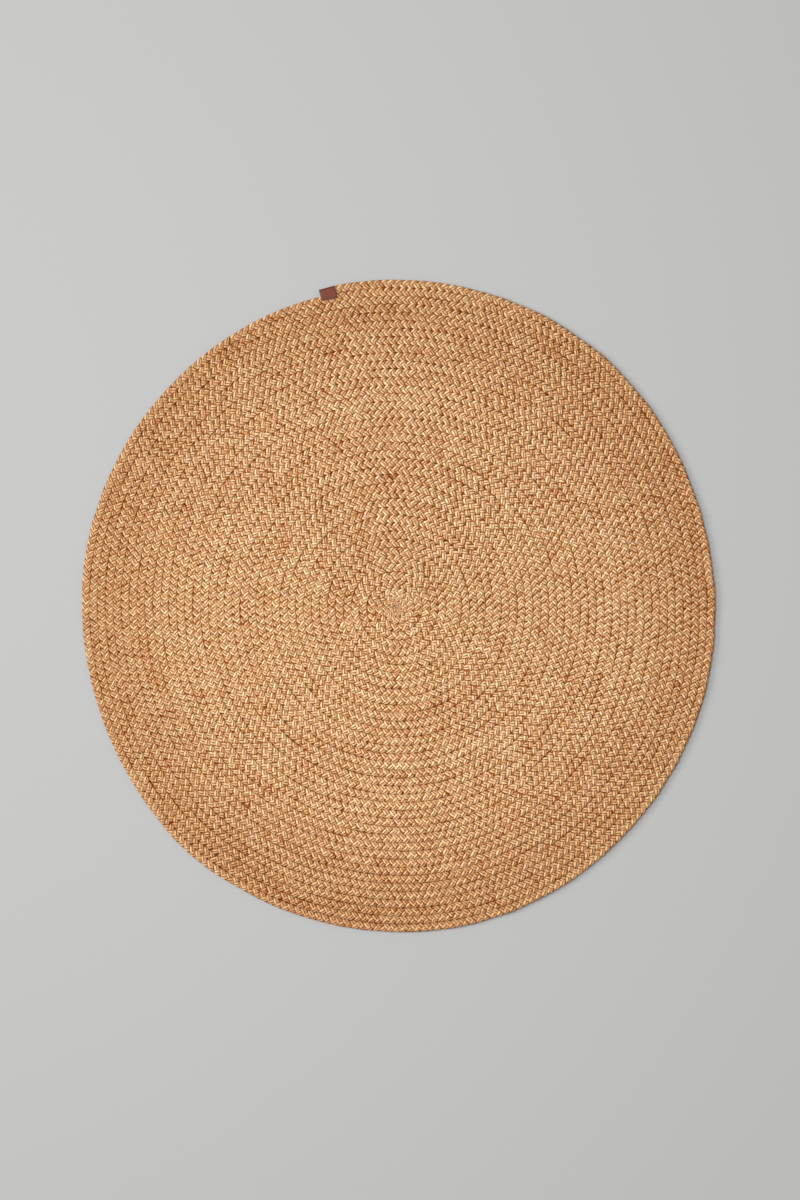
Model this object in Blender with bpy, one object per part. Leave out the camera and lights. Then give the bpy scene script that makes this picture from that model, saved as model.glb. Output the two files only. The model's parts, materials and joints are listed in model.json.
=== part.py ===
"""A round rug: one jute plait sewn edge to edge in a flat spiral, with a folded leather tab over the plait's outer end.

Metres, +Z up. The rug lies on z = 0 with its outline centred on the origin. Angles run counterclockwise from +X, and
the spiral grows that way. A turn number counts the spiral's turns from its middle, so that the plait's outer edge is
turn * PLAIT_WIDTH away from the middle, before the outline's swelling.
"""

import math
from collections import namedtuple

import bmesh
import bpy
from mathutils import Vector

FULL_TURN = 2 * math.pi

# Driving sizes of the rug
MEAN_RADIUS = 0.6005  # of the outline, about the spiral's middle
PLAIT_WIDTH = 0.0150
CROWN_HEIGHT = 0.0085  # of the plait's flat back above the floor
GROOVE_HEIGHT = 0.0043  # of the valley between two turns, and of the rim's widest line
PLAITED_TURNS = 39.5
END_ANGLE = math.radians(102.9)  # where the plait ends under the tab

# The outline is a little oval and uneven
OVAL_DEPTH = 0.0074
OVAL_ANGLE = math.radians(93.3)  # of the longer axis
Wave = namedtuple("Wave", "count depth crest_degrees")
UNEVENNESS = (
    Wave(count=3, depth=0.0007, crest_degrees=52),
    Wave(count=4, depth=0.0008, crest_degrees=-28),
    Wave(count=6, depth=0.0011, crest_degrees=-12),
)
BULGE_DEPTH = 0.0030
BULGE_ANGLE = math.radians(229)
BULGE_SPREAD = math.radians(7)

# Lines that run along the plait: how far in from its outer edge, in plait widths, and how high
Line = namedtuple("Line", "inset height")
INNER_CROWN = Line(inset=0.76, height=CROWN_HEIGHT)
OUTER_CROWN = Line(inset=0.24, height=CROWN_HEIGHT)
GROOVE = Line(inset=0.0, height=GROOVE_HEIGHT)
RIM_SHOULDER = Line(inset=0.10, height=0.0072)
RIM_SIDE = Line(inset=0.0, height=GROOVE_HEIGHT)
RIM_FOOT = Line(inset=0.14, height=0.0)

# The plait's last stretch is squeezed inwards under the tab
SQUEEZE = 0.0016
SQUEEZE_LENGTH = 0.045

# Steps along the spiral: more to a turn as it widens, an even number so that half turns have a step too
FLATTEST_ARC = 0.0009  # how far a step's chord may stand off its arc
FEWEST_STEPS = 14
LAST_TURN_STEPS = 90
DIMPLE_OFFSET = 0.004  # of the middle's lowest point from the spiral's middle
DIMPLE_HEIGHT = 0.0062

# Driving sizes of the tab
TAB_LENGTH = 0.0300  # along the rim
TAB_DEPTH_AT_END = 0.0217  # from its fold inwards, on the side past the plait's end
TAB_DEPTH_ON_PLAIT = 0.0243
TAB_ANGLE = math.radians(102.4)  # of its middle, seen from the spiral's middle
TAB_TURN = math.radians(3.0)  # between its fold and the rim
TAB_REACH = 0.6132  # of the fold's middle from the spiral's middle
LEATHER = 0.0012
TAB_BOTTOM = 0.0002
TAB_TOP = 0.0101
FOLD_STEPS = 10
CLEARANCE = 0.0003

JUTE_COLOUR = (0.576, 0.300, 0.140)
LEATHER_COLOUR = (0.205, 0.053, 0.038)

last_turn = MEAN_RADIUS / PLAIT_WIDTH + 0.5
first_turn = last_turn - PLAITED_TURNS


def clear_scene():
    for thing in list(bpy.data.objects):
        bpy.data.objects.remove(thing, do_unlink=True)


def swelling(angle):
    """How far the outline stands out from a round one."""
    out = OVAL_DEPTH * math.cos(2 * (angle - OVAL_ANGLE))
    for wave in UNEVENNESS:
        out += wave.depth * math.cos(wave.count * (angle - math.radians(wave.crest_degrees)))
    off_bulge = math.remainder(angle - BULGE_ANGLE, FULL_TURN)
    return out + BULGE_DEPTH * math.exp(-((off_bulge / BULGE_SPREAD) ** 2))


def plait_point(turn, line, squeezed=0.0):
    """A point of the line that runs along the plait, squeezed inwards by a length."""
    angle = END_ANGLE + (turn - last_turn) * FULL_TURN
    radius = (turn - line.inset) * PLAIT_WIDTH * (1 + swelling(angle) / MEAN_RADIUS) - squeezed
    return Vector((radius * math.cos(angle), radius * math.sin(angle), line.height))


def squeeze_at(turn):
    """How far the rim is drawn in, rising smoothly over the plait's last stretch."""
    to_end = (last_turn - turn) * FULL_TURN * MEAN_RADIUS
    share = min(max(1 - to_end / SQUEEZE_LENGTH, 0.0), 1.0)
    return SQUEEZE * share * share * (3 - 2 * share)


def steps_of_turn(outer_turn):
    """The number of steps in the whole turn that ends at outer_turn."""
    radius = (outer_turn - 0.5) * PLAIT_WIDTH
    steps = max(FULL_TURN * math.sqrt(radius / (8 * FLATTEST_ARC)), FEWEST_STEPS)
    return 2 * math.ceil(steps / 2)


def spiral_turns():
    """Turn numbers of the steps, from the spiral's start to its end."""
    turns = [last_turn]
    steps = LAST_TURN_STEPS
    while turns[-1] > first_turn + 1e-6:
        end = turns[-1]
        part = min(1.0, end - first_turn)
        count = round(steps * part)
        turns += [end - part * (i + 1) / count for i in range(count)]
        steps = steps_of_turn(turns[-1])
    return turns[::-1]


def outline_middle():
    """The middle of the rug's box, seen from the spiral's middle."""
    turns = [turn for turn in spiral_turns() if turn >= last_turn - 1]
    rim = [plait_point(turn, RIM_SIDE, squeeze_at(turn)) for turn in turns]
    return Vector(
        (
            (min(p.x for p in rim) + max(p.x for p in rim)) / 2,
            (min(p.y for p in rim) + max(p.y for p in rim)) / 2,
            0.0,
        )
    )


def add_zip(bm, inner, outer):
    """Joins two neighbouring lines that may have different steps. Each holds pairs of angle and vertex."""
    i = j = 0
    while i < len(inner) - 1 or j < len(outer) - 1:
        inner_next = inner[i + 1][0] if i < len(inner) - 1 else math.inf
        outer_next = outer[j + 1][0] if j < len(outer) - 1 else math.inf
        if outer_next <= inner_next:
            bm.faces.new((inner[i][1], outer[j][1], outer[j + 1][1]))
            j += 1
        else:
            bm.faces.new((inner[i][1], outer[j][1], inner[i + 1][1]))
            i += 1


def add_strip(bm, inner, outer):
    """Joins two neighbouring lines of the same steps, leaving out corners that they share."""
    for i in range(len(inner) - 1):
        corners = []
        for corner in (inner[i], outer[i], outer[i + 1], inner[i + 1]):
            if corner not in corners:
                corners.append(corner)
        bm.faces.new(corners)


def build_rug_mesh(middle):
    """The ribbed slab of the spiral: a flat underside, a rib for each turn and a rounded rim."""
    bm = bmesh.new()
    turns = spiral_turns()

    def line_of(line, turns_of_line, squeezed=False):
        return [
            bm.verts.new(plait_point(t, line, squeeze_at(t) if squeezed else 0.0) - middle)
            for t in turns_of_line
        ]

    rim_start = next(i for i, turn in enumerate(turns) if turn >= last_turn - 1 - 1e-6)
    second_turn = next(i for i, turn in enumerate(turns) if turn >= first_turn + 1 - 1e-6)
    inner_crown = line_of(INNER_CROWN, turns)
    outer_crown = line_of(OUTER_CROWN, turns)
    groove = line_of(GROOVE, turns[: rim_start + 1])
    # The rim's lines leave the groove where the turn outside them begins.
    rim_turns = turns[rim_start + 1 :]
    shoulder = [groove[-1]] + line_of(RIM_SHOULDER, rim_turns, squeezed=True)
    side = [groove[-1]] + line_of(RIM_SIDE, rim_turns, squeezed=True)
    foot = line_of(RIM_FOOT, turns[rim_start:], squeezed=True)

    add_strip(bm, inner_crown, outer_crown)
    add_strip(bm, outer_crown[: rim_start + 1], groove)
    add_strip(bm, outer_crown[rim_start:], shoulder)
    add_strip(bm, shoulder, side)
    add_strip(bm, side, foot)
    add_zip(
        bm,
        list(zip([turn + 1 for turn in turns], groove)),
        list(zip(turns[second_turn:], inner_crown[second_turn:])),
    )

    # The plait's cut end, the dimple at the spiral's start, and the underside
    bm.faces.new(
        (groove[-1], inner_crown[-1], outer_crown[-1], shoulder[-1], side[-1], foot[-1], foot[0])
    )
    start_angle = END_ANGLE + (first_turn - last_turn) * FULL_TURN
    beside = Vector((math.sin(start_angle), -math.cos(start_angle), 0)) * DIMPLE_OFFSET
    dimple = bm.verts.new(beside + Vector((0, 0, DIMPLE_HEIGHT)) - middle)
    around = inner_crown[: second_turn + 1] + [groove[0], outer_crown[0]]
    for near, far in zip(around, around[1:] + around[:1]):
        bm.faces.new((dimple, near, far))
    bm.faces.new(foot[::-1])

    bmesh.ops.recalc_face_normals(bm, faces=bm.faces)
    mesh = bpy.data.meshes.new("rug")
    bm.to_mesh(mesh)
    bm.free()
    mesh.shade_smooth()
    mesh.set_sharp_from_angle(angle=math.radians(60))
    return mesh


def fold_profile(depth, margin):
    """The tab's bent strip from the side: how far in from the fold and how high, grown by a margin."""
    middle_height = (TAB_BOTTOM + TAB_TOP) / 2
    outer = (TAB_TOP - TAB_BOTTOM) / 2
    profile = []
    for radius, order in ((outer + margin, 1), (outer - LEATHER - margin, -1)):
        arc = [math.radians(-90 - 180 * i / FOLD_STEPS) for i in range(FOLD_STEPS + 1)]
        leg_and_arc = [(depth + margin, middle_height - radius)]
        leg_and_arc += [
            (outer + radius * math.cos(angle), middle_height + radius * math.sin(angle)) for angle in arc
        ]
        leg_and_arc += [(depth + margin, middle_height + radius)]
        profile += leg_and_arc[::order]
    return profile


def build_tab_mesh(name, margin):
    """The leather strip folded round the rim. Its ends are cut to slightly different depths."""
    bm = bmesh.new()
    half = TAB_LENGTH / 2 + margin
    ends = []
    for along, depth in ((-half, TAB_DEPTH_AT_END), (half, TAB_DEPTH_ON_PLAIT)):
        ends.append([bm.verts.new((along, -inwards, height)) for inwards, height in fold_profile(depth, margin)])
    past_end, on_plait = ends
    count = len(past_end)
    for i in range(count):
        after = (i + 1) % count
        bm.faces.new((past_end[i], past_end[after], on_plait[after], on_plait[i]))
    # Each end is a row of quads between the strip's outer and inner sides.
    for end in ends:
        for i in range(count // 2 - 1):
            bm.faces.new((end[i], end[i + 1], end[count - 2 - i], end[count - 1 - i]))
    bmesh.ops.recalc_face_normals(bm, faces=bm.faces)
    mesh = bpy.data.meshes.new(name)
    bm.to_mesh(mesh)
    bm.free()
    mesh.shade_smooth()
    mesh.set_sharp_from_angle(angle=math.radians(40))
    return mesh


def place_on_rim(thing, middle):
    """Turns the tab's own frame, +X clockwise along the rim and +Y outwards, to its place on the rug."""
    towards = Vector((math.cos(TAB_ANGLE), math.sin(TAB_ANGLE), 0.0))
    thing.location = towards * TAB_REACH - middle
    thing.rotation_euler = (0.0, 0.0, TAB_ANGLE - math.pi / 2 + TAB_TURN)


def make_material(name, colour, roughness):
    material = bpy.data.materials.new(name)
    material.use_nodes = True
    shader = material.node_tree.nodes["Principled BSDF"]
    shader.inputs["Base Color"].default_value = (*colour, 1.0)
    shader.inputs["Roughness"].default_value = roughness
    shader.inputs["Metallic"].default_value = 0.0
    return material


def add_object(name, mesh, material=None):
    thing = bpy.data.objects.new(name, mesh)
    bpy.context.scene.collection.objects.link(thing)
    if material:
        mesh.materials.append(material)
    return thing


def main():
    clear_scene()
    middle = outline_middle()
    rug = add_object("rug", build_rug_mesh(middle), make_material("jute", JUTE_COLOUR, 0.9))
    tab = add_object("tab", build_tab_mesh("tab", 0.0), make_material("leather", LEATHER_COLOUR, 0.55))
    place_on_rim(tab, middle)

    # Room for the tab's lower leg and fold in the rug's soft edge
    room = add_object("room_for_tab", build_tab_mesh("room_for_tab", CLEARANCE))
    place_on_rim(room, middle)
    room.hide_render = True
    room.display_type = "WIRE"
    cut = rug.modifiers.new("room_for_tab", "BOOLEAN")
    cut.operation = "DIFFERENCE"
    cut.solver = "EXACT"
    cut.object = room


main()
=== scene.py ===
"""Looks of a round jute rug: its three-strand plait laid in a spiral, the fibre bed between the strands,
painted dark with the shade in their gaps, and the stitched leather tab over the plait's end, on a pale floor
in soft light from above and the left.

Metres, +Z up. The rug lies on z = 0, centred on the origin. Angles run counterclockwise from +X. A turn
number counts the spiral's turns from its middle: the plait's outer edge is turn * plait width away from it,
before the outline's swelling, and its centre line half a plait width less.
"""

import json
import math
from collections import namedtuple

import bmesh
import bpy
from bpy.props import FloatProperty, FloatVectorProperty, IntProperty, PointerProperty
from mathutils import Euler, Matrix, Vector

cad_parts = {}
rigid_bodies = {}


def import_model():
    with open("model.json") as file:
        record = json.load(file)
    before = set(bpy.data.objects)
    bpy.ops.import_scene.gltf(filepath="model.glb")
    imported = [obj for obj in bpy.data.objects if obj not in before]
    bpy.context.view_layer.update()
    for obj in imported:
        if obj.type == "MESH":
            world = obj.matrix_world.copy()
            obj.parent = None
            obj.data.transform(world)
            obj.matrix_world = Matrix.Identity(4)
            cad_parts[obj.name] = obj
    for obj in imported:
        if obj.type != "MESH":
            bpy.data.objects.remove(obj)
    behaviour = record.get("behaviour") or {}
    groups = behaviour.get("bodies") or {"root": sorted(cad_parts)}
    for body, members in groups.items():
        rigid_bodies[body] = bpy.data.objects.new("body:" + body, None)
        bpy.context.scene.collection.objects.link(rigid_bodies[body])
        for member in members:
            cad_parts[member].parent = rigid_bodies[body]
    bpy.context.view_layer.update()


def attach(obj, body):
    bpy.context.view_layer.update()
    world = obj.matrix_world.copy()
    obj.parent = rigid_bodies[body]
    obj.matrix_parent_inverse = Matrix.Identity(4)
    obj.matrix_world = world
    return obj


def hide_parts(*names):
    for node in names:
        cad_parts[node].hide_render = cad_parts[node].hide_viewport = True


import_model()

bl_info = {
    "name": "Plaited Jute Rug",
    "version": (1, 0, 0),
    "blender": (4, 5, 0),
    "location": "3D View > Sidebar > Jute Rug",
    "description": "Makes a round rug from one jute plait sewn in a spiral, with a leather tab over its end",
    "category": "Add Mesh",
}

FULL_TURN = 2 * math.pi

# What all the colours that a user can change have in common
COLOUR = {"subtype": "COLOR", "size": 3, "min": 0, "max": 1}

# The outline's unevenness, beside the oval that the user can change, and its bulge
Wave = namedtuple("Wave", "count depth crest_degrees")
OUTLINE_WAVES = (
    Wave(count=3, depth=0.0007, crest_degrees=52),
    Wave(count=4, depth=0.0008, crest_degrees=-28),
    Wave(count=6, depth=0.0011, crest_degrees=-12),
)
BULGE_DEPTH = 0.0030
BULGE_ANGLE = math.radians(229)
BULGE_SPREAD = math.radians(7)

# The plait's last stretch is drawn in under the tab
SQUEEZE = 0.0016
SQUEEZE_LENGTH = 0.045

# Each strand is made in lengths, one after the other. The meshes are finer at the plait's narrow start and
# at the rug's rim, which shows from the side.
Length = namedtuple("Length", "name periods steps sides")
START = Length("start", periods=12, steps=16, sides=8)
RIM_PERIODS = 104
RIM_STEPS, RIM_SIDES = 14, 8
BODY_LENGTHS = ("inner", "middle", "outer")
STRANDS = ("a", "b", "c")

# Inputs of a strand's node tree that are sizes of the plait
SIZE_INPUTS = (
    "Plait width", "Plait middle", "Period", "Sway", "Lift", "Strand width", "Strand thickness",
    "Start turns",
)

# A strand's way through the plait. It runs along each edge of the plait for a while, where it turns over,
# and crosses steeply between them. The plaits of two turns nest: each reaches between the strands of the
# other.
LINE_STEP = 0.001  # spacing of its points on the straight line that they start on
STEP_BUNCHING = 0.12  # how much closer the steps of its mesh are where it turns over
DWELL_AT_EDGE = 0.08
LATE_CREST = 0.60  # how late on its way across the strand is highest
CREST = 1.387  # height that this gives, before it is flattened
FLAT_CREST = 1.5
SQUARENESS = 0.35  # of the strand's section
TURN_OVER = 1.9  # how fast it turns over at the edge
EDGE_START, EDGE_END = 0.60, 0.96  # share of the way to the edge over which it narrows and thickens
EDGE_NARROWING = 0.45
EDGE_THICKENING = 0.24
RIM_DRAW = 0.22  # how much the last round is drawn in at the rim
RIM_DRAW_SPREAD = 1.012  # the last round, with the stretch over which that sets in

# Unevenness along the plait: how much, over what length, and where in the noise it starts
Unevenness = namedtuple("Unevenness", "amount length seed")
PHASE_WANDER = Unevenness(1.6, length=0.45, seed=3.7)
OWN_PHASE_WANDER = Unevenness(0.2, length=0.03, seed=61.0)
WANDER_ACROSS = Unevenness(0.0009, length=0.07, seed=11.3)
WANDER_UP = Unevenness(0.00035, length=0.05, seed=29.1)
STRAND_SWELL = Unevenness(0.16, length=0.021, seed=5.9)
STRAND_THINNING = Unevenness(0.16, length=0.017, seed=41.7)
LEAF_TWIST = Unevenness(0.16, length=0.012, seed=83.0)
LEAF_LIFT = Unevenness(0.12, length=0.012, seed=97.0)
STRAND_OFFSET = 57.3  # length by which each strand's noise is apart from the one before it
START_RISE = 0.0020  # of the narrow start, so that it lies level with the rest
LOWEST = 0.0002  # height that no strand goes below

# Towards the seam between two turns a strand is more in the shade. The rug's rim is less in the shade than
# the plait's middle, but not as bare as its face. Lengths are from the plait's centre line.
SEAM_START, SEAM_END = 0.0042, 0.0076
SEAM_SHADE = 0.30
RIM_FACE_START, RIM_FACE_END = 0.0040, 0.0070
RIM_BARENESS = 0.50

# The jute: the turns of a yarn's twist, how far apart its two yarns are in the noise, the groove's reach up
# the yarn, how bare a point is where it is wholly hidden, in full painted shade, and wholly open, with none,
# how dark the painted shade of the depth gets, and the distances from the rug's middle between which it
# grows browner and darker, partly in its own colour and partly in painted shade
YARN_TWIST = 700.0
YARNS_APART = 7.0
GROOVE_REACH = 0.66
WHOLLY_HIDDEN, WHOLLY_OPEN = 0.22, 0.68
DEEPEST_PAINTED_SHADE = 0.76
RIM_SHADE_START, RIM_SHADE_END = 0.37, 0.63

# Its tones along the plait: the length over which each changes, and where in the noise it starts
LOT_TONE, OTHER_LOT_TONE = (0.45, 0.0), (0.30, 51.0)
LEAF_TONE, KHAKI_TONE = (0.019, 13.0), (0.030, 77.0)

# The tab presses the plait flatter and holds it back from its fold.
PRESSED_SHARE = 0.80
TAB_SOFT_EDGE = 0.006
FOLD_CLEARANCE = 0.0006

# The bed of matted fibre in the middle of the plait's thickness, dark with painted shade
BED_TOP = 0.0045
BED_BOTTOM = 0.0030
BED_INSET = 0.0045
BED_RINGS = 12
OUTLINE_STEPS = 90

# The tab: steps of its mesh, how its edges are pressed down, worn and rounded, how far from its fold it is
# darker, and how it is sewn. The lower row of stitches lies deeper in the leather, clear of the floor.
LEG_STEPS, FOLD_STEPS, TAB_COLUMNS = 18, 16, 28
TAB_EDGE_SOFTNESS, TAB_EDGE_DROP = 0.0020, 0.0004
TAB_WORN_EDGE, TAB_DARK_FOLD = 0.0010, 0.45
TAB_EDGE_WEAR = 0.7
TAB_ROUNDING = 0.00025
STITCH_ROW = {"Count": 9, "Spacing": 0.0031, "Length": 0.0023, "Arch": 0.0004, "Thread": 0.00055}
STITCH_STEPS, STITCH_SIDES = 9, 8
STITCH_SINK = 0.6  # share of the thread by which a stitch's ends go into the leather
STITCH_TURN = 0.06
STITCH_INSET = 0.0026
LOWER_STITCH_DEPTH = 0.00016

# The stage: how far the floor reaches to each side, how far the window is towards the tab, the soft box
# above the rug, and the camera
FLOOR_REACH = 40.0
WINDOW_TOWARDS_TOP = 0.10
SOFT_BOX_PLACE = (-1.4, 0.4, 4.4)
SOFT_BOX_SIZE = 2.6
SENSOR_WIDTH = 36.0
CAMERA_ABOVE = (0.0028, 0.0112)
RUG_TOP = 0.008


class PlaitSizes(bpy.types.PropertyGroup):
    """Sizes of the plait and of the spiral that it is sewn in"""

    mean_radius: FloatProperty(
        name="Mean radius", description="Radius of the outline, on average", default=0.6005, unit="LENGTH"
    )
    oval_depth: FloatProperty(
        name="Oval depth", description="How far the outline stands out at its longer axis",
        default=0.0074, unit="LENGTH",
    )
    oval_angle: FloatProperty(
        name="Oval angle", description="Direction of the longer axis",
        default=math.radians(93.3), subtype="ANGLE",
    )
    end_angle: FloatProperty(
        name="End angle", description="Where the plait ends, under the tab",
        default=math.radians(102.9), subtype="ANGLE",
    )
    start_turns: FloatProperty(
        name="Start turns", description="Turns over which the plait widens from its start",
        default=5.0, min=1.5,
    )
    plait_width: FloatProperty(
        name="Plait width", description="Width of one turn", default=0.0150, unit="LENGTH"
    )
    plait_middle: FloatProperty(
        name="Plait middle", description="Height of the plait's centre line", default=0.00435, unit="LENGTH"
    )
    period: FloatProperty(
        name="Strand period", description="Length in which a strand crosses over and back",
        default=0.0399, unit="LENGTH",
    )
    sway: FloatProperty(
        name="Sway", description="How far a strand runs to each side of the centre line",
        default=0.0059, unit="LENGTH",
    )
    lift: FloatProperty(
        name="Lift", description="How far a strand rises and sinks as it crosses",
        default=0.0021, unit="LENGTH",
    )
    strand_width: FloatProperty(
        name="Strand width", description="Width of a flattened strand", default=0.0096, unit="LENGTH"
    )
    strand_thickness: FloatProperty(
        name="Strand thickness", description="Thickness of a flattened strand", default=0.0042, unit="LENGTH"
    )
    steps: IntProperty(name="Steps", description="Steps along each strand period", default=14, min=6)
    sides: IntProperty(name="Sides", description="Faces around a strand", default=6, min=6)


class JuteColours(bpy.types.PropertyGroup):
    """Colours of the jute, with the painted shade of its depth and, in part, of its rim"""

    straw: FloatVectorProperty(
        name="Straw", description="Palest fibres", default=(0.97, 0.70, 0.42), **COLOUR
    )
    tan: FloatVectorProperty(
        name="Tan", description="Most of the fibres", default=(0.68, 0.295, 0.088), **COLOUR
    )
    russet: FloatVectorProperty(
        name="Russet", description="Reddest strands", default=(0.62, 0.215, 0.065), **COLOUR
    )
    khaki: FloatVectorProperty(
        name="Khaki", description="Greener strands", default=(0.86, 0.60, 0.24), **COLOUR
    )
    # Painted shade: the colour that the depth between the strands is darkened towards, standing in for the
    # shade and the light bounced between the fibres there
    deep: FloatVectorProperty(
        name="Painted deep shade", description="Fibres deep between the strands", default=(0.10, 0.022, 0.001), **COLOUR
    )
    # Partly the jute's own colour towards the rim, partly painted shade
    rim_shade: FloatVectorProperty(
        name="Rim shade", description="What the rim keeps of the colour in the middle",
        default=(0.82, 0.742, 0.668), **COLOUR
    )


class TabSizes(bpy.types.PropertyGroup):
    """Sizes and colours of the leather tab"""

    length: FloatProperty(name="Length", description="Length along the rim", default=0.0300, unit="LENGTH")
    depth_at_end: FloatProperty(
        name="Depth at end", description="Depth on the side past the plait's end",
        default=0.0217, unit="LENGTH",
    )
    depth_on_plait: FloatProperty(
        name="Depth on plait", description="Depth on the side over the plait", default=0.0243, unit="LENGTH"
    )
    angle: FloatProperty(
        name="Angle", description="Where the tab's middle is", default=math.radians(102.4), subtype="ANGLE"
    )
    turn: FloatProperty(
        name="Turn", description="Angle between the tab's fold and the rim",
        default=math.radians(3.0), subtype="ANGLE",
    )
    reach: FloatProperty(
        name="Reach", description="Distance of the fold from the spiral's middle",
        default=0.6132, unit="LENGTH",
    )
    leather: FloatProperty(
        name="Leather", description="Thickness of the leather", default=0.0012, unit="LENGTH"
    )
    bottom: FloatProperty(
        name="Bottom", description="Height of its underside", default=0.0002, unit="LENGTH"
    )
    top: FloatProperty(name="Top", description="Height of its upper side", default=0.0101, unit="LENGTH")
    colour: FloatVectorProperty(
        name="Leather colour", description="Face of the leather", default=(0.147, 0.029, 0.010), **COLOUR
    )
    edge_colour: FloatVectorProperty(
        name="Edge colour", description="Cut edges and fold", default=(0.040, 0.010, 0.005), **COLOUR
    )
    thread_colour: FloatVectorProperty(
        name="Thread colour", description="Sewing thread", default=(0.060, 0.016, 0.009), **COLOUR
    )


class StageSettings(bpy.types.PropertyGroup):
    """Floor, light and camera"""

    floor_colour: FloatVectorProperty(
        name="Floor", description="Colour of the floor", default=(0.43, 0.43, 0.425), **COLOUR
    )
    view_height: FloatProperty(
        name="View height", description="Length of floor that the picture's long side shows",
        default=2.244, unit="LENGTH",
    )
    lens: FloatProperty(name="Lens", description="Focal length in millimetres", default=70.0)
    window_light: FloatProperty(
        name="Window light", description="Strength of the low light from the left", default=1.85
    )
    window_height: FloatProperty(
        name="Window height", description="Angle of that light above the floor",
        default=math.radians(27), subtype="ANGLE",
    )
    window_softness: FloatProperty(
        name="Window softness", description="How wide that light looks from the rug",
        default=math.radians(22), subtype="ANGLE",
    )
    soft_box_light: FloatProperty(
        name="Soft box", description="Power of the soft box in watts", default=170.0
    )
    room_light: FloatProperty(
        name="Room light", description="Strength of the even light from all round", default=0.35
    )


# ---- Numbers worked out by nodes


class Number:
    """A number that nodes work out. Python's signs add the nodes for it."""

    def __init__(self, tree, socket):
        self.tree = tree
        self.socket = socket

    def by(self, operation, *others):
        node = self.tree.nodes.new("ShaderNodeMath")
        node.operation = operation
        for socket, value in zip(node.inputs, (self, *others)):
            feed(self.tree, socket, value)
        return Number(self.tree, node.outputs[0])

    def __add__(self, other):
        return self.by("ADD", other)

    def __sub__(self, other):
        return self.by("SUBTRACT", other)

    def __mul__(self, other):
        return self.by("MULTIPLY", other)

    def __truediv__(self, other):
        return self.by("DIVIDE", other)

    def __neg__(self):
        return self.by("MULTIPLY", -1.0)

    __radd__ = __add__
    __rmul__ = __mul__

    def __rsub__(self, other):
        return -self + other

    def __rtruediv__(self, other):
        return self.by("POWER", -1.0) * other

    def sin(self):
        return self.by("SINE")

    def cos(self):
        return self.by("COSINE")

    def sqrt(self):
        return self.by("SQRT")

    def abs(self):
        return self.by("ABSOLUTE")

    def within(self, low, high):
        return self.by("MAXIMUM", low).by("MINIMUM", high)

    def ramp(self, start, end):
        """0 before start, 1 past end, and smooth between them."""
        share = ((self - start) / (end - start)).within(0.0, 1.0)
        return share * share * (3.0 - 2.0 * share)


def feed(tree, socket, value):
    """Links a Number to a socket, or sets it to a plain value."""
    if isinstance(value, Number):
        tree.links.new(value.socket, socket)
    elif isinstance(value, bpy.types.NodeSocket):
        tree.links.new(value, socket)
    else:
        socket.default_value = value


def add_node(tree, kind, settings=None, **inputs):
    """Adds a node, with its settings and the inputs named with underscores for spaces."""
    node = tree.nodes.new(kind)
    for name, value in (settings or {}).items():
        setattr(node, name, value)
    for name, value in inputs.items():
        feed(tree, node.inputs[name.replace("_", " ")], value)
    return node


def position_of(tree, x, y, z):
    return add_node(tree, "ShaderNodeCombineXYZ", X=x, Y=y, Z=z).outputs[0]


def noise_along(tree, length, size, seed=0.0):
    """Smooth noise from about -1 to 1 that changes over the given length."""
    place = length * (1.0 / size) + seed
    node = add_node(tree, "ShaderNodeTexNoise", {"noise_dimensions": "1D"}, W=place, Scale=1.0, Detail=1.0)
    return (Number(tree, node.outputs[0]) - 0.5) * 3.0


def uneven(tree, length, unevenness):
    """One kind of unevenness along the plait."""
    return noise_along(tree, length, unevenness.length, unevenness.seed) * unevenness.amount


# ---- The outline and the spiral, in nodes and in plain numbers


def swelling(angle, sizes):
    """How far the outline stands out from a round one at an angle, as a plain number."""
    out = sizes.oval_depth * math.cos(2 * (angle - sizes.oval_angle))
    for wave in OUTLINE_WAVES:
        out += wave.depth * math.cos(wave.count * (angle - math.radians(wave.crest_degrees)))
    off_bulge = math.remainder(angle - BULGE_ANGLE, FULL_TURN)
    return out + BULGE_DEPTH * math.exp(-((off_bulge / BULGE_SPREAD) ** 2))


def swelling_number(angle, sizes):
    """The same, as nodes."""
    out = ((angle - sizes.oval_angle) * 2.0).cos() * sizes.oval_depth
    for wave in OUTLINE_WAVES:
        out = out + ((angle - math.radians(wave.crest_degrees)) * wave.count).cos() * wave.depth
    off_bulge = (angle - BULGE_ANGLE).by("WRAP", math.pi, -math.pi) / BULGE_SPREAD
    return out + (off_bulge * off_bulge * -1.0).by("EXPONENT") * BULGE_DEPTH


def last_turn(sizes):
    return sizes.mean_radius / sizes.plait_width + 0.5


def rim_point(turn, sizes, inset=0.0):
    """A point of the rug's rim, seen from the spiral's middle."""
    angle = sizes.end_angle + (turn - last_turn(sizes)) * FULL_TURN
    to_end = (last_turn(sizes) - turn) * FULL_TURN * sizes.mean_radius
    share = min(max(1 - to_end / SQUEEZE_LENGTH, 0.0), 1.0)
    radius = turn * sizes.plait_width * (1 + swelling(angle, sizes) / sizes.mean_radius)
    radius -= SQUEEZE * share * share * (3 - 2 * share) + inset
    return Vector((radius * math.cos(angle), radius * math.sin(angle), 0.0))


def rim_points(sizes, inset=0.0):
    """Points once round the rim, clockwise from the plait's end."""
    turns = [last_turn(sizes) - i / OUTLINE_STEPS for i in range(OUTLINE_STEPS + 1)]
    return [rim_point(turn, sizes, inset) for turn in turns]


def spiral_middle(sizes):
    """Where the spiral's middle lies, with the outline's box centred on the origin."""
    xs, ys, _ = zip(*rim_points(sizes))
    return -Vector(((min(xs) + max(xs)) / 2, (min(ys) + max(ys)) / 2, 0.0))


def widening_length(sizes):
    """Length in which the plait widens from a point to its full width, counted at full width."""
    return math.pi * sizes.plait_width * sizes.start_turns**2 / 2


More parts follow.
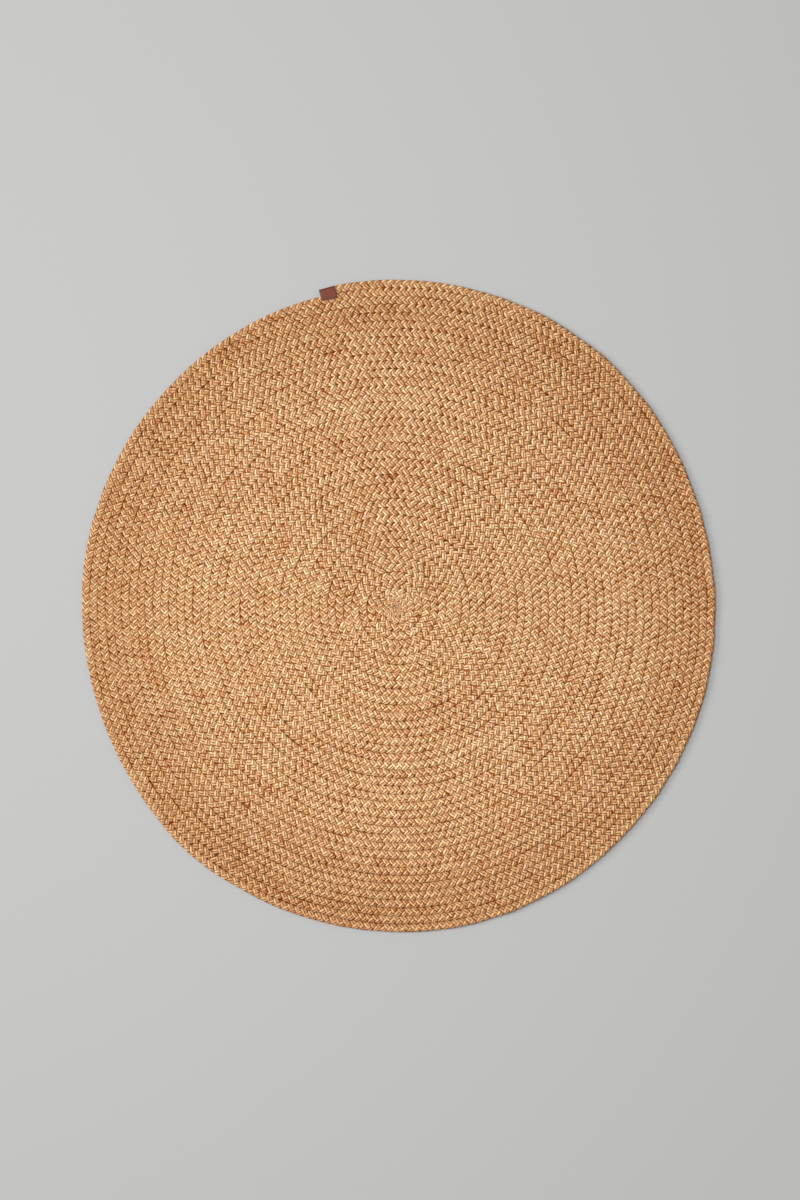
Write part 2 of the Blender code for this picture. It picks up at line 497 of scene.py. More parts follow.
def start_length(sizes):
    """Where the plait starts on that length: its inner edge is then at the spiral's middle."""
    return math.pi * sizes.plait_width / 2


def end_length(sizes):
    """Where the plait ends."""
    centre_turn = last_turn(sizes) - 0.5
    return math.pi * sizes.plait_width * centre_turn**2 + widening_length(sizes) / 2


# ---- Node trees


def new_tree(name, counts, numbers):
    """A geometry node tree with named inputs, the counts whole. Returns it and its inputs as Numbers."""
    tree = bpy.data.node_groups.new(name, "GeometryNodeTree")
    kinds = dict.fromkeys(counts, "NodeSocketInt") | dict.fromkeys(numbers, "NodeSocketFloat")
    for input_name, kind in kinds.items():
        tree.interface.new_socket(name=input_name, in_out="INPUT", socket_type=kind)
    tree.interface.new_socket(name="Mesh", in_out="OUTPUT", socket_type="NodeSocketGeometry")
    group = tree.nodes.new("NodeGroupInput")
    return tree, {name: Number(tree, group.outputs[name]) for name in kinds}


def captured(tree, geometry, values):
    """Keeps values on a geometry's points. Returns the geometry and the kept values."""
    node = tree.nodes.new("GeometryNodeCaptureAttribute")
    tree.links.new(geometry, node.inputs[0])
    for name, (kind, value) in values.items():
        node.capture_items.new(kind, name)
        feed(tree, node.inputs[name], value)
    return node.outputs[0], [node.outputs[name] for name in values]


def stored(tree, geometry, name, kind, value):
    """Stores a named attribute on a geometry's points."""
    settings = {"data_type": kind, "domain": "POINT"}
    node = add_node(tree, "GeometryNodeStoreNamedAttribute", settings, Name=name)
    tree.links.new(geometry, node.inputs["Geometry"])
    feed(tree, node.inputs["Value"], value)
    return node.outputs[0]


def finish_tree(tree, geometry, material):
    """Ends a tree in Realize Instances, smooth shading and Set Material."""
    realized = add_node(tree, "GeometryNodeRealizeInstances", Geometry=geometry)
    smooth = add_node(tree, "GeometryNodeSetShadeSmooth", Geometry=realized.outputs[0])
    painted = add_node(tree, "GeometryNodeSetMaterial", Geometry=smooth.outputs[0], Material=material)
    output = tree.nodes.new("NodeGroupOutput")
    tree.links.new(painted.outputs[0], output.inputs[0])
    return tree


def strand_tree(sizes, material):
    """Sweeps a strand's section along its way over and under the other two, round the spiral."""
    counts = ("Steps in all", "Steps", "Sides")
    tree, given = new_tree("Plait strand", counts, ("Strand", "First period", *SIZE_INPUTS))
    section_curve = add_node(
        tree, "GeometryNodeCurvePrimitiveCircle", {"mode": "RADIUS"}, Resolution=given["Sides"], Radius=1.0
    )
    place = add_node(tree, "GeometryNodeInputPosition").outputs[0]
    section, (section_place,) = captured(tree, section_curve.outputs[0], {"section": ("VECTOR", place)})
    points = given["Steps in all"] + 1.0
    line = add_node(tree, "GeometryNodeMeshLine", Count=points, Offset=(0.0, LINE_STEP, 0.0))
    index = Number(tree, add_node(tree, "GeometryNodeInputIndex").outputs[0])
    path = add_node(tree, "GeometryNodeMeshToCurve", Mesh=line.outputs[0]).outputs[0]
    path, (step,) = captured(tree, path, {"step": ("FLOAT", index)})
    swept = add_node(tree, "GeometryNodeCurveToMesh", Curve=path, Profile_Curve=section, Fill_Caps=True)

    # Steps are closer where the strand turns over at the plait's edges.
    width = given["Plait width"]
    cycle = given["First period"] + given["Strand"] / 3.0 + Number(tree, step) / given["Steps"]
    phase = cycle * FULL_TURN - (cycle * (2 * FULL_TURN)).sin() * STEP_BUNCHING
    distance = (phase / FULL_TURN - given["Strand"] / 3.0) * given["Period"] + start_length(sizes)
    distance = distance.within(start_length(sizes), end_length(sizes))

    # The plait widens over its first turns. Everywhere, the turns lie edge to edge.
    widening_turn = (distance * 2.0 / (width * math.pi)).sqrt()
    even_turn = distance / (width * math.pi) - given["Start turns"] * given["Start turns"] / 4.0
    even_turn = even_turn.by("MAXIMUM", 0.0).sqrt()
    widening = widening_turn.by("LESS_THAN", given["Start turns"])
    grown = (widening_turn / given["Start turns"]).by("MINIMUM", 1.0)
    grown_up = grown.sqrt()
    turn = even_turn + (widening_turn - given["Start turns"] / 2.0 - even_turn) * widening
    centre_line = even_turn + (widening_turn * grown / 2.0 - even_turn) * widening

    # The whole plait wanders a little, and each strand swells and thins.
    own_distance = distance + given["Strand"] * STRAND_OFFSET
    phase = phase + uneven(tree, distance, PHASE_WANDER)
    phase = phase + uneven(tree, own_distance, OWN_PHASE_WANDER)
    wander_across = uneven(tree, distance, WANDER_ACROSS)
    wander_up = uneven(tree, distance, WANDER_UP)
    swell = 1.0 + uneven(tree, own_distance, STRAND_SWELL)
    thin = 1.0 + uneven(tree, own_distance, STRAND_THINNING)
    twist = uneven(tree, own_distance, LEAF_TWIST)
    lifted = grown_up * given["Lift"] * (1.0 + uneven(tree, own_distance, LEAF_LIFT))
    edge = phase.cos().abs().ramp(EDGE_START, EDGE_END)
    half_width = given["Strand width"] * 0.5 * swell * grown * (1.0 - EDGE_NARROWING * edge)
    half_thickness = given["Strand thickness"] * 0.5 * thin * grown_up * (1.0 + EDGE_THICKENING * edge)

    # Place of the strand's centre in the plait, and its slope there
    sway = given["Sway"] / (1.0 - DWELL_AT_EDGE)
    across = sway * grown * (phase.cos() - DWELL_AT_EDGE * (phase * 3.0).cos())
    to_end = end_length(sizes) - distance
    last_round = FULL_TURN * (sizes.mean_radius - sizes.plait_width / 2)
    last = 1.0 - to_end.ramp(last_round, last_round * RIM_DRAW_SPREAD)
    across = across * (1.0 - last * across.ramp(0.0, given["Sway"]) * RIM_DRAW)
    wave = ((phase * 2.0).sin() - LATE_CREST * (phase * 4.0).sin()) * (FLAT_CREST / CREST)
    flattened = wave.by("TANH") / math.tanh(FLAT_CREST)
    up = lifted * flattened
    rate = FULL_TURN / given["Period"]
    slope_across = rate * sway * (3.0 * DWELL_AT_EDGE * (phase * 3.0).sin() - phase.sin())
    steepness = (1.0 - wave.by("TANH") * wave.by("TANH")) * (FLAT_CREST / CREST / math.tanh(FLAT_CREST))
    slope_up = (phase * 2.0).cos() * 2.0 - (phase * 4.0).cos() * (4.0 * LATE_CREST)
    slope_up = slope_up * steepness * rate * lifted / grown

    # Sideways and upward directions of the strand, as across, along and up
    flat_length = (slope_across * slope_across + 1.0).sqrt()
    whole_length = (flat_length * flat_length + slope_up * slope_up).sqrt()
    side_across = 1.0 / flat_length
    side_along = -(slope_across / flat_length)
    top_across = -(slope_up * slope_across / (whole_length * flat_length))
    top_along = -(slope_up / (whole_length * flat_length))
    top_up = flat_length / whole_length

    # The strand turns over at the plait's edges, so it stands on its side there.
    roll = ((phase.sin() * TURN_OVER).by("TANH") / math.tanh(TURN_OVER) - 1.0) * (math.pi / 2) + twist
    section_parts = add_node(tree, "ShaderNodeSeparateXYZ", Vector=section_place)
    sideways = Number(tree, section_parts.outputs[0])
    upward = Number(tree, section_parts.outputs[1])
    wide = sideways * (1.0 + SQUARENESS - SQUARENESS * sideways * sideways) * half_width
    high = upward * (1.0 + SQUARENESS - SQUARENESS * upward * upward) * half_thickness
    to_side = wide * roll.cos() - high * roll.sin()
    to_top = wide * roll.sin() + high * roll.cos()
    off_across = to_side * side_across + to_top * top_across
    off_along = to_side * side_along + to_top * top_along
    off_up = to_top * top_up

    # Round the spiral
    angle = (turn + 0.5 - last_turn(sizes)) * FULL_TURN + sizes.end_angle
    drawn_in = (1.0 - to_end.ramp(0.0, SQUEEZE_LENGTH)) * (SQUEEZE / 2)
    rounder = 1.0 + swelling_number(angle, sizes) / sizes.mean_radius
    radius = (centre_line * width + across + wander_across + off_across) * rounder - drawn_in
    rise = up + wander_up + off_up + (1.0 - grown_up) * START_RISE
    height = (given["Plait middle"] + rise).by("MAXIMUM", LOWEST)
    middle = spiral_middle(sizes)
    x = radius * angle.cos() - off_along * angle.sin() + middle.x
    y = radius * angle.sin() + off_along * angle.cos() + middle.y
    position = held_by_tab(tree, x, y, height, middle)
    placed = add_node(tree, "GeometryNodeSetPosition", Geometry=swept.outputs[0], Position=position)

    # How bare a point lies, which sets how much painted shade the jute gets: 0 in the middle of the plait's
    # thickness, 1 at its upper or lower face, and between them at the seams and at the rug's rim
    surface = (rise.abs() / (given["Strand thickness"] * 0.5 + given["Lift"])).by("MINIMUM", 1.0)
    last_edge = (across + off_across).ramp(RIM_FACE_START, RIM_FACE_END) * last * RIM_BARENESS
    at_seam = (across + off_across).abs().ramp(SEAM_START, SEAM_END)
    surface = surface * (1.0 - at_seam * SEAM_SHADE)
    geometry = stored(tree, placed.outputs[0], "along", "FLOAT", own_distance)
    geometry = stored(tree, geometry, "sideways", "FLOAT", sideways)
    geometry = stored(tree, geometry, "upward", "FLOAT", upward)
    geometry = stored(tree, geometry, "bare", "FLOAT", surface.by("MAXIMUM", last_edge))
    return finish_tree(tree, geometry, material)


def tab_frame(tab, middle):
    """Place and turn of the tab's own frame: +X clockwise along the rim, +Y outwards, its fold at y = 0."""
    towards = Vector((math.cos(tab.angle), math.sin(tab.angle), 0.0))
    turn = Euler((0.0, 0.0, tab.angle - math.pi / 2 + tab.turn)).to_matrix().to_4x4()
    return Matrix.Translation(towards * tab.reach + middle) @ turn


def held_by_tab(tree, x, y, height, middle):
    """Where the tab holds the plait, a point is pressed flatter and kept back from the tab's fold."""
    tab = bpy.context.scene.jute_rug_tab
    place = tab_frame(tab, middle)
    turn = place.to_euler().z
    from_x = x - place.translation.x
    from_y = y - place.translation.y
    along = from_x * math.cos(turn) + from_y * math.sin(turn)
    inwards = from_x * math.sin(turn) - from_y * math.cos(turn)
    held = 1.0 - along.abs().ramp(tab.length / 2, tab.length / 2 + TAB_SOFT_EDGE)
    pressed = held * (1.0 - inwards.ramp(tab.depth_on_plait, tab.depth_on_plait + TAB_SOFT_EDGE))
    centre = (tab.bottom + tab.top) / 2
    height = height + (height - centre) * (PRESSED_SHARE - 1.0) * pressed
    clear = tab.leather + FOLD_CLEARANCE
    pushed = (clear - inwards).by("MAXIMUM", 0.0) * held
    return position_of(tree, x + pushed * math.sin(turn), y - pushed * math.cos(turn), height)


def random_number(tree, low, high, seed):
    """A different number for each point, the same on every run."""
    node = add_node(tree, "FunctionNodeRandomValue", {"data_type": "FLOAT"}, Seed=seed)
    feed(tree, node.inputs[2], low)
    feed(tree, node.inputs[3], high)
    return Number(tree, node.outputs[1])


def stitch_tree(material):
    """A straight row of stitches along X. Each is an arch of thread whose ends go into the leather."""
    tree, given = new_tree("Stitches", ("Count",), ("Spacing", "Length", "Arch", "Thread"))
    half_row = (given["Count"] - 1.0) * given["Spacing"] * 0.5
    half_stitch = given["Length"] * 0.5
    holes = add_node(
        tree, "GeometryNodeMeshLine", Count=given["Count"],
        Start_Location=position_of(tree, -half_row, 0.0, 0.0),
        Offset=position_of(tree, given["Spacing"], 0.0, 0.0),
    )
    straight = add_node(
        tree, "GeometryNodeCurvePrimitiveLine", Start=position_of(tree, -half_stitch, 0.0, 0.0),
        End=position_of(tree, half_stitch, 0.0, 0.0),
    )
    line = add_node(tree, "GeometryNodeResampleCurve", Curve=straight.outputs[0], Count=STITCH_STEPS)
    share = Number(tree, add_node(tree, "GeometryNodeSplineParameter").outputs["Factor"])
    arch = (share * math.pi).sin().by("POWER", 0.5) * given["Arch"] - given["Thread"] * STITCH_SINK
    up = position_of(tree, 0.0, 0.0, arch)
    arched = add_node(tree, "GeometryNodeSetPosition", Geometry=line.outputs[0], Offset=up)
    radius = given["Thread"] * 0.5
    round_section = add_node(
        tree, "GeometryNodeCurvePrimitiveCircle", {"mode": "RADIUS"}, Resolution=STITCH_SIDES, Radius=radius
    )
    stitch = add_node(
        tree, "GeometryNodeCurveToMesh", Curve=arched.outputs[0], Profile_Curve=round_section.outputs[0],
        Fill_Caps=True,
    )
    skew = position_of(tree, 0.0, 0.0, random_number(tree, -STITCH_TURN, STITCH_TURN, seed=4))
    turned = add_node(tree, "FunctionNodeEulerToRotation", Euler=skew)
    row = add_node(
        tree, "GeometryNodeInstanceOnPoints", Points=holes.outputs[0], Instance=stitch.outputs[0],
        Rotation=turned.outputs[0],
    )
    return finish_tree(tree, row.outputs[0], material)


def made_by_nodes(name, tree, values, place=None):
    """Runs a node tree with these inputs. Keeps the result as a plain mesh, moved to its place."""
    holder = bpy.data.objects.new(name + "_nodes", bpy.data.meshes.new(name + "_nodes"))
    bpy.context.scene.collection.objects.link(holder)
    modifier = holder.modifiers.new("nodes", "NODES")
    modifier.node_group = tree
    for item in tree.interface.items_tree:
        if item.item_type == "SOCKET" and item.in_out == "INPUT":
            modifier[item.identifier] = values[item.name]
    depsgraph = bpy.context.evaluated_depsgraph_get()
    mesh = bpy.data.meshes.new_from_object(
        holder.evaluated_get(depsgraph), preserve_all_data_layers=True, depsgraph=depsgraph
    )
    bpy.data.objects.remove(holder, do_unlink=True)
    mesh.name = name
    if place:
        mesh.transform(place)
    return add_object(name, mesh)


def add_object(name, mesh):
    thing = bpy.data.objects.new(name, mesh)
    bpy.context.scene.collection.objects.link(thing)
    return thing


# ---- Materials


def new_material(name, roughness, specular=0.5):
    """A material with an empty Principled shader. Returns it, its tree and its shader."""
    material = bpy.data.materials.new(name)
    material.use_nodes = True
    tree = material.node_tree
    shader = tree.nodes["Principled BSDF"]
    shader.inputs["Roughness"].default_value = roughness
    shader.inputs["Specular IOR Level"].default_value = specular
    return material, tree, shader


def mixed(tree, share, first, second):
    """A colour between two colours."""
    node = add_node(tree, "ShaderNodeMix", {"data_type": "RGBA"})
    feed(tree, node.inputs["Factor"], share)
    for socket, colour in ((node.inputs[6], first), (node.inputs[7], second)):
        feed(tree, socket, colour if isinstance(colour, bpy.types.NodeSocket) else (*colour, 1.0))
    return node.outputs[2]


def attribute(tree, name):
    node = add_node(tree, "ShaderNodeAttribute", {"attribute_name": name})
    return Number(tree, node.outputs["Fac"])


def noise_at(tree, place, scale, detail=3.0, roughness=0.5):
    inputs = {"Vector": place, "Scale": scale, "Detail": detail, "Roughness": roughness}
    return Number(tree, add_node(tree, "ShaderNodeTexNoise", **inputs).outputs[0])


def bumped(tree, shader, height, distance):
    bump = add_node(tree, "ShaderNodeBump", Height=height, Distance=distance, Strength=1.0)
    tree.links.new(bump.outputs[0], shader.inputs["Normal"])


def from_middle(tree):
    """Distance from the rug's middle."""
    place = add_node(tree, "ShaderNodeTexCoord").outputs["Object"]
    parts = add_node(tree, "ShaderNodeSeparateXYZ", Vector=place)
    x = Number(tree, parts.outputs[0])
    y = Number(tree, parts.outputs[1])
    return (x * x + y * y).sqrt()


def jute_material(colours):
    """Strands of two jute yarns: twisted fibres, a groove between them, a tone that changes, and painted
    shade.
    """
    material, tree, shader = new_material("jute", roughness=0.85, specular=0.08)
    along = attribute(tree, "along")
    sideways = attribute(tree, "sideways")
    upward = attribute(tree, "upward")
    bare = attribute(tree, "bare")

    # Which of the two yarns a point is on, the yarn's roundness there, and how near the groove beside it is.
    # Fibres run round the yarn in its twist.
    yarn = sideways.ramp(-0.05, 0.05)
    roundness = (sideways * math.pi).sin().abs()
    groove = 1.0 - roundness.ramp(0.0, GROOVE_REACH)
    twisted = sideways * 9.0 - along * YARN_TWIST

    # Tone of the jute that was plaited in at a time, of a leaf, a yarn, its bundles and its single fibres
    lot = noise_along(tree, along, *LOT_TONE)
    other_lot = noise_along(tree, along, *OTHER_LOT_TONE)
    leaf = noise_along(tree, along, *LEAF_TONE)
    apart = yarn * YARNS_APART
    yarn_tone = noise_at(tree, position_of(tree, along * 40.0, apart, 0.5), 1.0, detail=1.0) - 0.5
    yarn_red = noise_at(tree, position_of(tree, along * 28.0, apart, 9.5), 1.0, detail=1.0) - 0.5
    coarse = position_of(tree, along * 150.0, twisted * 0.33, upward * 2.0)
    bundles = noise_at(tree, coarse, 1.0, detail=2.0) - 0.5
    fine = position_of(tree, along * 200.0, twisted * 1.3, upward * 7.0)
    fibres = noise_at(tree, fine, 1.0, detail=4.0, roughness=0.6) - 0.5

    # From tan to straw, with some of it russet or khaki, and darker in the depth, grooves and creases, which
    # is painted shade. The factors weigh these against each other and were judged.
    pale = (0.90 + leaf * 0.08 + yarn_tone * 0.9 + bundles * 2.0 + fibres * 1.5).within(0.0, 1.0)
    red = (0.18 + lot * 0.22 + yarn_red * 1.0 - leaf * 0.15).within(0.0, 1.0)
    khaki = (noise_along(tree, along, *KHAKI_TONE) * 0.40 - 0.08 + other_lot * 0.15).within(0.0, 0.6)
    colour = mixed(tree, pale, colours.tan, colours.straw)
    colour = mixed(tree, red, colour, colours.russet)
    colour = mixed(tree, khaki, colour, colours.khaki)
    # Painted shade: the less bare a point lies, the more it is darkened towards the deep colour
    hidden = 1.0 - bare.ramp(WHOLLY_HIDDEN, WHOLLY_OPEN)
    # Painted shade in the creases between the fibre bundles
    creases = (-(bundles * 1.4 + fibres * 1.2) - 0.10).within(0.0, 0.35)
    dark = (hidden * 0.95 + groove * 1.6 + creases * 1.3).within(0.0, 1.0)
    # Painted shade: the depth and the grooves grow darker and more saturated, as light bounced between
    # fibres makes them
    gamma = add_node(tree, "ShaderNodeGamma", Gamma=1.0 + hidden * 1.7 + groove * 1.2)
    tree.links.new(colour, gamma.inputs["Color"])
    # The painted shade, mixed towards the deep colour
    colour = mixed(tree, dark * DEEPEST_PAINTED_SHADE, gamma.outputs[0], colours.deep)

    # Darker and browner towards the rug's rim: partly the jute's own colour there, partly painted shade
    towards_rim = from_middle(tree).ramp(RIM_SHADE_START, RIM_SHADE_END)
    kept = mixed(tree, towards_rim, (1.0, 1.0, 1.0), colours.rim_shade)
    shade = add_node(tree, "ShaderNodeMix", {"data_type": "RGBA", "blend_type": "MULTIPLY"})
    shade.inputs["Factor"].default_value = 1.0
    tree.links.new(colour, shade.inputs[6])
    tree.links.new(kept, shade.inputs[7])
    tree.links.new(shade.outputs[2], shader.inputs["Base Color"])
    height = fibres * 0.6 + bundles * 0.6 + roundness.sqrt() * 0.6
    bumped(tree, shader, height, distance=0.0014)
    return material


def bed_shade_material(colours):
    """Matted fibres between the strands, dark with painted shade."""
    material, tree, shader = new_material("jute_bed", roughness=0.95, specular=0.1)
    place = add_node(tree, "ShaderNodeTexCoord").outputs["Object"]
    fibres = noise_at(tree, place, 700.0, detail=3.0)
    # Painted shade: in places darker still than the deep colour
    shade = [channel * 0.6 for channel in colours.deep]
    colour = mixed(tree, fibres, shade, colours.deep)
    tree.links.new(colour, shader.inputs["Base Color"])
    bumped(tree, shader, fibres, distance=0.0008)
    return material


def leather_material(tab):
    """Satin grained leather, darker along its fold and cut edges."""
    material, tree, shader = new_material("tab_leather", roughness=0.5, specular=0.3)
    place = add_node(tree, "ShaderNodeTexCoord").outputs["Object"]
    nearest = {"feature": "DISTANCE_TO_EDGE"}
    cells = add_node(tree, "ShaderNodeTexVoronoi", nearest, Vector=place, Scale=2300.0)
    creases = 1.0 - Number(tree, cells.outputs[0]).ramp(0.0, 0.22)
    blotches = noise_at(tree, place, 130.0, detail=4.0)
    scuffs = noise_at(tree, place, 900.0, detail=3.0)
    pores = noise_at(tree, place, 4200.0, detail=2.0)
    worn_edges_and_dark_fold = (attribute(tree, "edge") * (0.8 + scuffs * 0.6)).within(0.0, 1.0)
    light = [channel * 1.5 for channel in tab.colour]
    colour = mixed(tree, (blotches - 0.35) * 1.6, tab.colour, light)
    colour = mixed(tree, creases * 0.25, colour, tab.edge_colour)
    colour = mixed(tree, worn_edges_and_dark_fold, colour, tab.edge_colour)
    tree.links.new(colour, shader.inputs["Base Color"])
    roughness = 0.40 + scuffs * 0.22
    tree.links.new(roughness.socket, shader.inputs["Roughness"])
    bumped(tree, shader, pores * 0.5 + blotches * 0.6 - creases * 0.5, distance=0.0001)
    return material


def thread_material(tab):
    """Waxed sewing thread."""
    material, tree, shader = new_material("tab_thread", roughness=0.55, specular=0.4)
    place = add_node(tree, "ShaderNodeTexCoord").outputs["Object"]
    tone = noise_at(tree, place, 900.0, detail=2.0)
    colour = mixed(tree, tone, tab.thread_colour, [c * 2.0 for c in tab.thread_colour])
    tree.links.new(colour, shader.inputs["Base Color"])
    bumped(tree, shader, tone, distance=0.0001)
    return material


def floor_material(stage):
    """Pale, even floor."""
    material, _, shader = new_material("floor", roughness=0.9, specular=0.2)
    shader.inputs["Base Color"].default_value = (*stage.floor_colour, 1.0)
    return material


# ---- Operators


def plait_spans(sizes):
    """Name, first period, periods, steps and sides of each length of the plait."""
    whole = math.floor((end_length(sizes) - start_length(sizes)) / sizes.period)
    body = whole - RIM_PERIODS - START.periods
    spans = [START]
    first = START.periods
    for i, name in enumerate(BODY_LENGTHS):
        last = START.periods + round(body * (i + 1) / len(BODY_LENGTHS))
        spans.append(Length(name, last - first, sizes.steps, sizes.sides))
        first = last
    spans.append(Length("rim", RIM_PERIODS + 1, RIM_STEPS, RIM_SIDES))
    return spans


class JUTERUG_OT_lay_plait(bpy.types.Operator):
    """Lays the three strands of the plait round the spiral"""

    bl_idname = "jute_rug.lay_plait"
    bl_label = "Lay plait"

    def execute(self, context):
        sizes = context.scene.jute_rug_plait
        tree = strand_tree(sizes, jute_material(context.scene.jute_rug_colours))
        first = 0
        for span in plait_spans(sizes):
            for number, strand in enumerate(STRANDS):
                values = {
                    "Strand": float(number),
                    "First period": float(first),
                    "Steps in all": span.periods * span.steps,
                    "Steps": span.steps,
                    "Sides": span.sides,
                    **{name: getattr(sizes, name.lower().replace(" ", "_")) for name in SIZE_INPUTS},
                }
                made_by_nodes(f"strand_{strand}_{span.name}", tree, values)
            first += span.periods
        return {"FINISHED"}


class JUTERUG_OT_make_bed(bpy.types.Operator):
    """Makes the thin bed of matted fibre that closes the gaps between the strands, dark with painted shade
    """

    bl_idname = "jute_rug.make_bed"
    bl_label = "Make fibre bed"

    def execute(self, context):
        sizes = context.scene.jute_rug_plait
        middle = spiral_middle(sizes)
        outline = rim_points(sizes, inset=BED_INSET)
        shares = [(ring + 1) / BED_RINGS for ring in range(BED_RINGS)]
        bm = bmesh.new()
        rings = []
        for height, order in ((BED_TOP, shares), (BED_BOTTOM, shares[::-1])):
            for share in order:
                lift = middle + Vector((0.0, 0.0, height))
                rings.append([bm.verts.new(point * share + lift) for point in outline])
        for inner, outer in zip(rings, rings[1:]):
            for i in range(len(outline)):
                after = (i + 1) % len(outline)
                bm.faces.new((inner[i], outer[i], outer[after], inner[after]))
        bm.faces.new(rings[0])
        bm.faces.new(rings[-1][::-1])
        bmesh.ops.recalc_face_normals(bm, faces=bm.faces)
        mesh = bpy.data.meshes.new("fibre_bed")
        bm.to_mesh(mesh)
        bm.free()
        mesh.materials.append(bed_shade_material(context.scene.jute_rug_colours))
        add_object("fibre_bed", mesh)
        return {"FINISHED"}


class JUTERUG_OT_make_tab(bpy.types.Operator):
    """Folds the leather tab over the plait's end and sews it"""

    bl_idname = "jute_rug.make_tab"
    bl_label = "Make leather tab"

    def execute(self, context):
        tab = context.scene.jute_rug_tab
        place = tab_frame(tab, spiral_middle(context.scene.jute_rug_plait))
        mesh = bpy.data.meshes.new("leather_tab")
        bm = bmesh.new()
        edge = bm.verts.layers.float.new("edge")
        fold_radius = (tab.top - tab.bottom - tab.leather) / 2
        centre = (tab.top + tab.bottom) / 2
        rows = []
        for step in range(2 * LEG_STEPS + FOLD_STEPS + 1):
            row = []
            for column in range(TAB_COLUMNS + 1):
                across = column / TAB_COLUMNS
                depth = tab.depth_at_end + (tab.depth_on_plait - tab.depth_at_end) * across
                leg = depth - tab.leather / 2 - fold_radius
                bend = min(max(step - LEG_STEPS, 0), FOLD_STEPS) / FOLD_STEPS * math.pi
                straight = leg * max(LEG_STEPS - step, step - LEG_STEPS - FOLD_STEPS, 0) / LEG_STEPS
                inwards = fold_radius * (1 - math.sin(bend)) + straight
                upper = (1 - math.cos(bend)) / 2
                from_side = min(across, 1 - across) * tab.length
                from_tip = depth - tab.leather / 2 - inwards
                pressed = math.exp(-min(from_side, from_tip) / TAB_EDGE_SOFTNESS) * TAB_EDGE_DROP
                height = centre - fold_radius * math.cos(bend) - pressed * upper
                point = bm.verts.new(((across - 0.5) * tab.length, -inwards - tab.leather / 2, height))
                worn_edge = max(1 - min(from_side, from_tip) / TAB_WORN_EDGE, 0.0)
                dark_fold = max(1 - inwards / (fold_radius * TAB_DARK_FOLD), 0.0)
                point[edge] = max(worn_edge * TAB_EDGE_WEAR, dark_fold)
                row.append(point)
            rows.append(row)
        for lower, upper in zip(rows, rows[1:]):
            for i in range(TAB_COLUMNS):
                bm.faces.new((lower[i], lower[i + 1], upper[i + 1], upper[i]))
        bmesh.ops.recalc_face_normals(bm, faces=bm.faces)
        bm.transform(place)
        bm.to_mesh(mesh)
        bm.free()
        mesh.shade_smooth()
        mesh.materials.append(leather_material(tab))
        thing = add_object("leather_tab", mesh)
        solid = thing.modifiers.new("thickness", "SOLIDIFY")
        solid.thickness = tab.leather
        solid.offset = 0.0
        rounded = thing.modifiers.new("rounded_edges", "BEVEL")
        rounded.width = TAB_ROUNDING
        rounded.segments = 3
        rounded.limit_method = "ANGLE"
        rounded.angle_limit = math.radians(50)

        # The upper row runs along the tab's inner edge, and the lower row comes out under it.
        tree = stitch_tree(thread_material(tab))
        slant = math.atan2(tab.depth_at_end - tab.depth_on_plait, tab.length)
        inwards = (tab.depth_at_end + tab.depth_on_plait) / 2 - STITCH_INSET
        lower_height = tab.bottom + LOWER_STITCH_DEPTH
        stitch_rows = (("stitches_upper", tab.top, 0.0), ("stitches_lower", lower_height, math.pi))
        for name, height, over in stitch_rows:
            turned = Euler((over, 0.0, slant)).to_matrix().to_4x4()
            row_place = place @ Matrix.Translation((0.0, -inwards, height)) @ turned
            made_by_nodes(name, tree, STITCH_ROW, row_place)
        return {"FINISHED"}


class JUTERUG_OT_set_stage(bpy.types.Operator):
    """Sets the floor, the soft light and the camera"""

    bl_idname = "jute_rug.set_stage"
    bl_label = "Set stage"

    def execute(self, context):
        stage = context.scene.jute_rug_stage
        scene = context.scene
        bm = bmesh.new()
        bmesh.ops.create_grid(bm, x_segments=1, y_segments=1, size=FLOOR_REACH)
        mesh = bpy.data.meshes.new("floor")
        bm.to_mesh(mesh)
        bm.free()
        mesh.materials.append(floor_material(stage))
        floor = add_object("floor", mesh)
        sun = bpy.data.lights.new("low_window", "SUN")
        sun.energy = stage.window_light
        sun.angle = stage.window_softness
        lamp = bpy.data.objects.new("low_window", sun)
        height = stage.window_height
        towards = Vector((-math.cos(height), WINDOW_TOWARDS_TOP, math.sin(height)))
        lamp.rotation_euler = towards.to_track_quat("Z", "Y").to_euler()
        scene.collection.objects.link(lamp)
        add_soft_box("soft_box", SOFT_BOX_PLACE, SOFT_BOX_SIZE, stage.soft_box_light)
        world = bpy.data.worlds.new("studio")
        world.use_nodes = True
        room = world.node_tree.nodes["Background"]
        room.inputs["Color"].default_value = (1.0, 1.0, 1.0, 1.0)
        room.inputs["Strength"].default_value = stage.room_light
        scene.world = world
        scene.view_settings.view_transform = "Standard"

        camera = bpy.data.cameras.new("camera")
        camera.lens = stage.lens
        camera.sensor_width = SENSOR_WIDTH
        camera.sensor_fit = "AUTO"
        eye = bpy.data.objects.new("camera", camera)
        scene.collection.objects.link(eye)
        distance = stage.view_height * stage.lens / camera.sensor_width
        eye.location = (*CAMERA_ABOVE, distance + RUG_TOP)
        scene.camera = eye
        return {"FINISHED"}


def add_soft_box(name, place, size, power):
    """A square soft light aimed at the rug."""
    light = bpy.data.lights.new(name, "AREA")
    light.shape = "SQUARE"
    light.size = size
    light.energy = power
    lamp = bpy.data.objects.new(name, light)
    lamp.location = place
    lamp.rotation_euler = (-Vector(place)).to_track_quat("-Z", "Y").to_euler()
    bpy.context.scene.collection.objects.link(lamp)


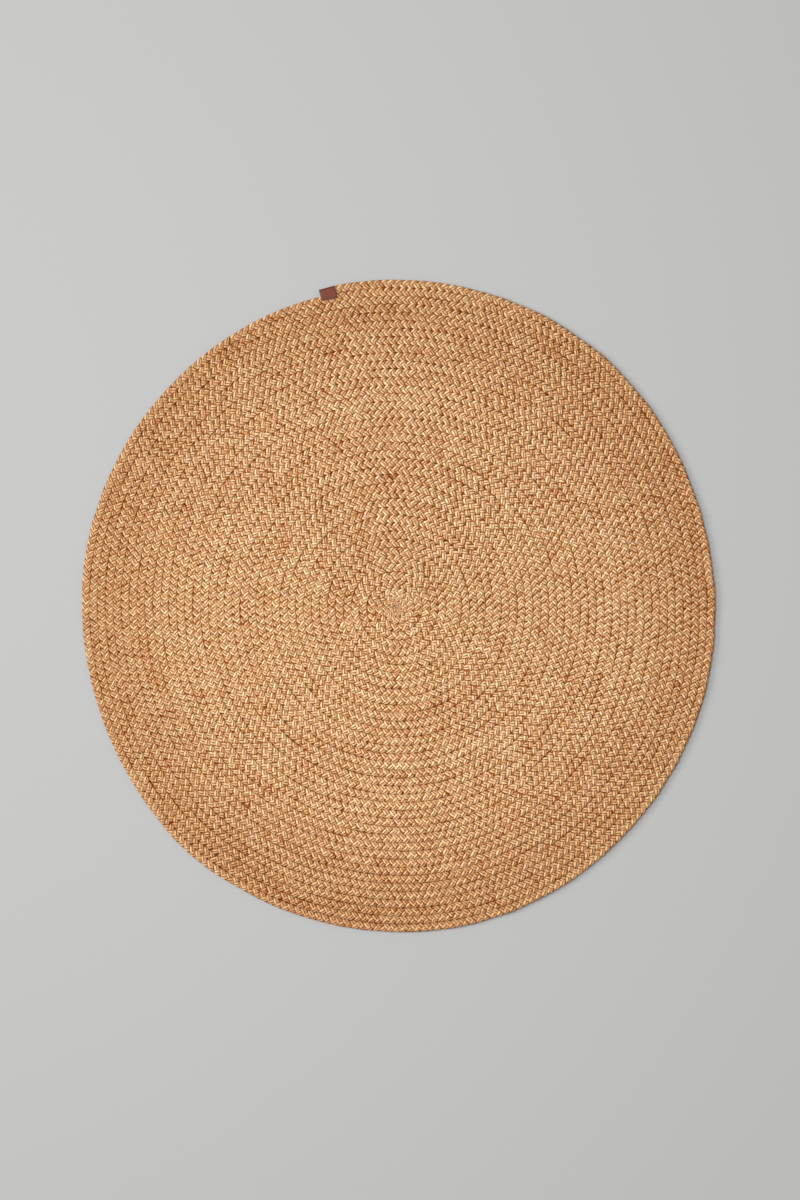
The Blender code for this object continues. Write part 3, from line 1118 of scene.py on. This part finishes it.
class JUTERUG_PT_panel(bpy.types.Panel):
    """Lists what the rug is made of"""

    bl_label = "Jute Rug"
    bl_idname = "JUTERUG_PT_panel"
    bl_space_type = "VIEW_3D"
    bl_region_type = "UI"
    bl_category = "Jute Rug"

    def draw(self, context):
        layout = self.layout
        for step in STEPS:
            layout.operator(step.bl_idname)
        for name in SETTINGS:
            box = layout.box()
            settings = getattr(context.scene, name)
            box.label(text=settings.bl_rna.name)
            for key in settings.__annotations__:
                box.prop(settings, key)


STEPS = (
    JUTERUG_OT_lay_plait,
    JUTERUG_OT_make_bed,
    JUTERUG_OT_make_tab,
    JUTERUG_OT_set_stage,
)
SETTINGS = {
    "jute_rug_plait": PlaitSizes,
    "jute_rug_colours": JuteColours,
    "jute_rug_tab": TabSizes,
    "jute_rug_stage": StageSettings,
}


def register():
    for group in SETTINGS.values():
        bpy.utils.register_class(group)
    for name, group in SETTINGS.items():
        setattr(bpy.types.Scene, name, PointerProperty(type=group))
    for step in STEPS:
        bpy.utils.register_class(step)
    bpy.utils.register_class(JUTERUG_PT_panel)


def unregister():
    bpy.utils.unregister_class(JUTERUG_PT_panel)
    for step in reversed(STEPS):
        bpy.utils.unregister_class(step)
    for name, group in SETTINGS.items():
        delattr(bpy.types.Scene, name)
        bpy.utils.unregister_class(group)


def declare_pieces(sizes):
    """Rides every piece on the rug, and hides the rug and tab parts that the pieces take the place of."""
    names = [thing.name for thing in bpy.context.scene.objects]
    strands = [bpy.data.objects[name] for name in names if name.startswith("strand_")]
    stitches = [bpy.data.objects[name] for name in ("stitches_upper", "stitches_lower")]
    bed = bpy.data.objects["fibre_bed"]
    tab = bpy.data.objects["leather_tab"]
    for piece in (bed, *strands):
        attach(piece, "root")
        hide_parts("rug")
    for piece in (tab, *stitches):
        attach(piece, "root")
    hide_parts("tab")
    math.pi * sizes.mean_radius**2


def main():
    register()
    bpy.ops.jute_rug.lay_plait()
    bpy.ops.jute_rug.make_bed()
    bpy.ops.jute_rug.make_tab()
    bpy.ops.jute_rug.set_stage()
    declare_pieces(bpy.context.scene.jute_rug_plait)


if __name__ == "__main__":
    main()
